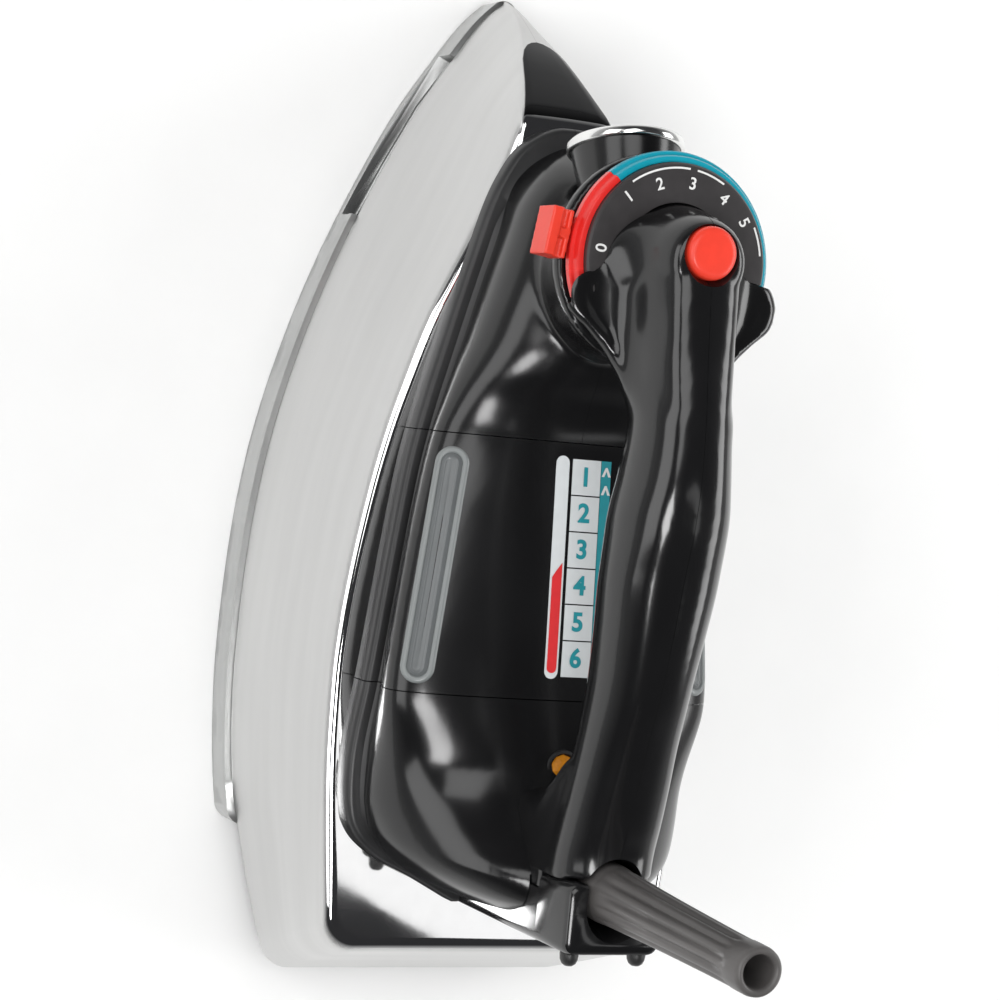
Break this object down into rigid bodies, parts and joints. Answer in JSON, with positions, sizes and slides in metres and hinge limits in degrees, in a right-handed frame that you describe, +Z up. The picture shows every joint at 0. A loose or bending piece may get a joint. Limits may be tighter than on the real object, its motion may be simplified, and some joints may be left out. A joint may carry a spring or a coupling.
{
  "type": "clothes iron",
  "caption": "Steam and dry clothes iron: chromed shell on an aluminium sole, black body and arched handle, temperature lever on a dial, steam button, fill cup and upright cord guard.",
  "frame": {"origin": "bottom centre of the bounding box, on the sole's lower face", "axes": "+X to the nose, +Y to the left side, +Z up from the sole"},
  "size_m": [0.256, 0.1208, 0.1857],
  "materials": {
    "sole": "brushed and polished",
    "element": "tube sheath",
    "steel": "plain",
    "brass": "turned",
    "shell_chrome": "mirror and satin plating",
    "dark_steel": "plain",
    "body_black": "high gloss",
    "handle_black": "gloss",
    "window": "translucent grey",
    "guide": "printed",
    "tank": "clear plastic",
    "rim_chrome": "polished",
    "rubber_foot": "matt",
    "guard_rubber": "matt",
    "inner_plastic": "plain",
    "lead": "glass braid",
    "lens": "faceted",
    "lamp_glass": "clear",
    "dial_dark": "satin",
    "ring": "two colours",
    "coral": "satin"
  },
  "bodies": {
    "iron": {"soleplate": "sole", "heating_element": "element", "steam_chamber_cover": "steel", "valve_seat": "brass", "thermostat_base": "steel", "bimetal_blade": "steel", "chrome_shell": "shell_chrome", "shell_rear_cover": "dark_steel", "shell_studs": "steel", "stud_nuts": "steel", "front_cover_left": "body_black", "front_cover_right": "body_black", "saddle_cover": "body_black", "rear_cover": "body_black", "water_window_left": "window", "water_window_right": "window", "fabric_guide": "guide", "water_tank": "tank", "fill_duct": "tank", "fill_cup": "body_black", "cup_rim": "rim_chrome", "handle_left": "handle_black", "handle_right": "handle_black", "heel_block": "handle_black", "heel_feet": "rubber_foot", "guard_pins": "steel", "cord_clamp": "inner_plastic", "terminal_block": "inner_plastic", "element_leads": "lead", "handle_screws": "steel", "thermal_fuse": "element", "indicator_lens": "lens", "indicator_lamp": "lamp_glass", "dial_base": "handle_black", "dial_plate": "dial_dark", "dial_ring": "ring", "button_spring": "steel"},
    "lever": {"temperature_lever": "coral", "thermostat_shaft": "steel"},
    "button": {"steam_button": "coral", "valve_rod": "brass"},
    "guard": {"cord_guard": "guard_rubber"}
  },
  "joints": [
    {"name": "temperature_turn", "type": "hinge", "parent": "iron", "child": "lever", "pos_m": [0.0585, 0, 0.111], "axis": [0, 0, 1], "range_deg": [-156, 0]},
    {"name": "steam_press", "type": "slide", "parent": "iron", "child": "button", "axis": [0, 0, -1], "range_m": [0, 0.003], "stiffness_N_per_m": 1200, "springref_m": -0.001, "deforming": ["button_spring"]},
    {"name": "guard_lean", "type": "hinge", "parent": "iron", "child": "guard", "pos_m": [-0.0874, 0, 0.11], "axis": [0, 1, 0], "range_deg": [-16, 9], "stiffness_Nm_per_rad": 0.15}
  ]
}
